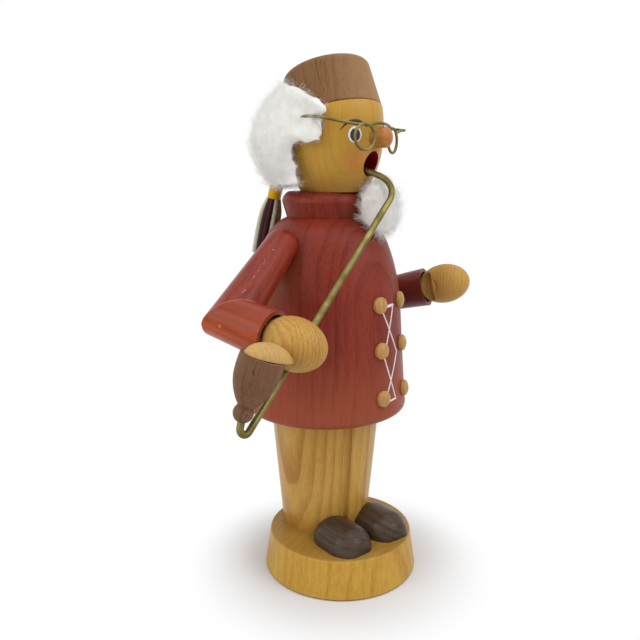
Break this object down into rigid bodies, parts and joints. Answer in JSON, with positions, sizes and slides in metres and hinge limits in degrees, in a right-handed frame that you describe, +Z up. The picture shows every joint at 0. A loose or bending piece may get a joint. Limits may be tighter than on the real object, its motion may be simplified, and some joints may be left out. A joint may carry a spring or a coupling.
{
  "type": "incense smoker figure",
  "caption": "Turned wooden incense smoker figure of an old man with cap, spectacles and pipe; the hollow upper body lifts off its legs over an incense tray.",
  "frame": {"origin": "where the figure's turning axis meets the bottom plane of the base", "axes": "+Z up along the turning axis; the upper body looks along -Y and its right hand is towards -X"},
  "size_m": [0.1431, 0.0722, 0.19],
  "materials": {
    "lacquered_wood": "satin clear lacquer",
    "leg_wood": "satin clear lacquer",
    "jacket_wood": "stained, satin",
    "sleeve_wood": "stained, gloss",
    "hand_wood": "bare, smooth",
    "button_wood": "satin",
    "cap_wood": "satin",
    "shoe_wood": "stained, satin",
    "nose_wood": "stained, satin",
    "dowel_wood": "bare",
    "wire_brass": "dull",
    "tray_metal": "dull",
    "wool": "matt",
    "yarn": "matt",
    "yarn_pale": "matt",
    "yarn_maroon": "matt",
    "yarn_olive": "matt"
  },
  "bodies": {
    "stand": {"base": "lacquered_wood", "leg_block": "leg_wood", "leg_dowel": "dowel_wood", "right_shoe": "shoe_wood", "left_shoe": "shoe_wood", "incense_tray": "tray_metal", "tray_nail": "tray_metal"},
    "figure": {"jacket": "jacket_wood", "buttons": "button_wood", "head": "lacquered_wood", "nose": "nose_wood", "cap": "cap_wood", "cap_dowel": "dowel_wood", "hair": "wool", "beard": "wool", "spectacles": "wire_brass", "pipe_stem": "wire_brass", "pipe_bowl": "cap_wood", "right_upper_sleeve": "sleeve_wood", "left_upper_sleeve": "sleeve_wood", "right_forearm": "sleeve_wood", "left_forearm": "sleeve_wood", "right_hand": "hand_wood", "left_hand": "hand_wood", "right_shoulder_dowel": "dowel_wood", "left_shoulder_dowel": "dowel_wood", "right_elbow_dowel": "dowel_wood", "left_elbow_dowel": "dowel_wood"},
    "tassel": {"tassel_wrap": "yarn", "tassel_pale": "yarn_pale", "tassel_maroon": "yarn_maroon", "tassel_olive": "yarn_olive"}
  },
  "joints": [
    {"name": "figure_lift", "type": "slide", "parent": "stand", "child": "figure", "axis": [0, 0, 1], "range_m": [0, 0.08]},
    {"name": "tassel_swing", "type": "hinge", "parent": "figure", "child": "tassel", "pos_m": [0, 0.0223, 0.1454], "axis": [1, 0, 0], "range_deg": [0, 60]}
  ]
}
